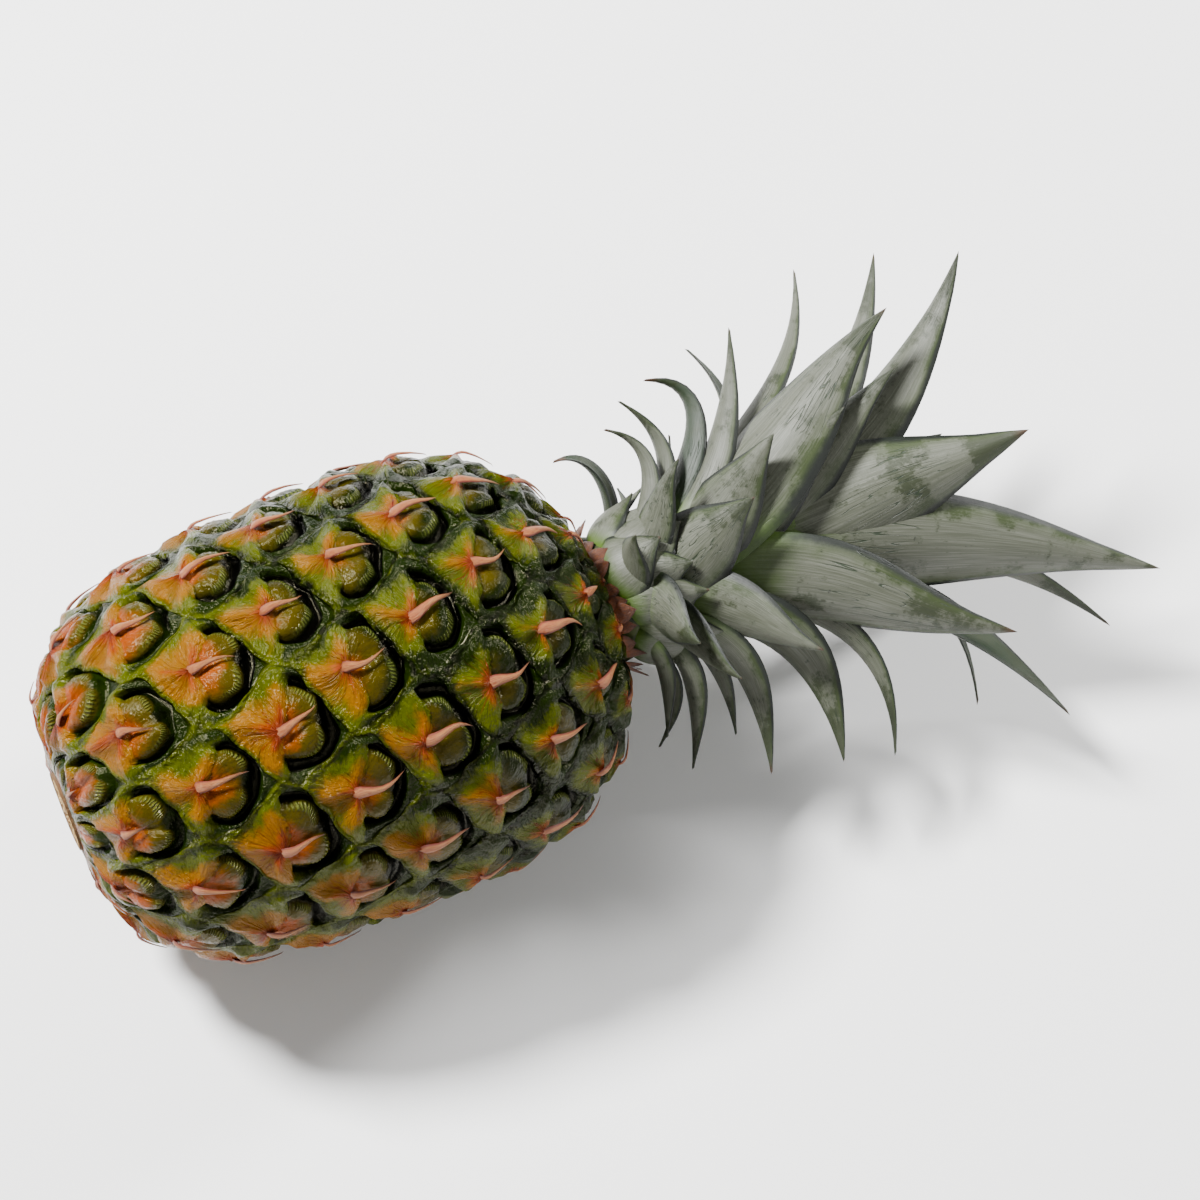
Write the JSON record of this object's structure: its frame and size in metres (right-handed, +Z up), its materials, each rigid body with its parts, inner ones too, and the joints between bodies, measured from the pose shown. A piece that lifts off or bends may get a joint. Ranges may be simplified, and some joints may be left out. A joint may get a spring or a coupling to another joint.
{
  "type": "pineapple",
  "caption": "Fresh whole pineapple lying on its side, with a barrel-shaped fruit of spiny diamond eyes, a leafy crown at one end and a cut stalk at the other.",
  "frame": {"origin": "middle of the bottom of the bounding box, on the surface that the fruit lies on", "axes": "+X along the fruit's axis from the stalk to the crown's tip, +Z up, +Y completes the right-handed frame"},
  "size_m": [0.3024, 0.1364, 0.1197],
  "materials": {
    "fruit": "satin",
    "crown": "matte",
    "stalk": "matte"
  },
  "bodies": {
    "root": {"fruit": "fruit", "crown": "crown", "stalk": "stalk"}
  },
  "joints": []
}
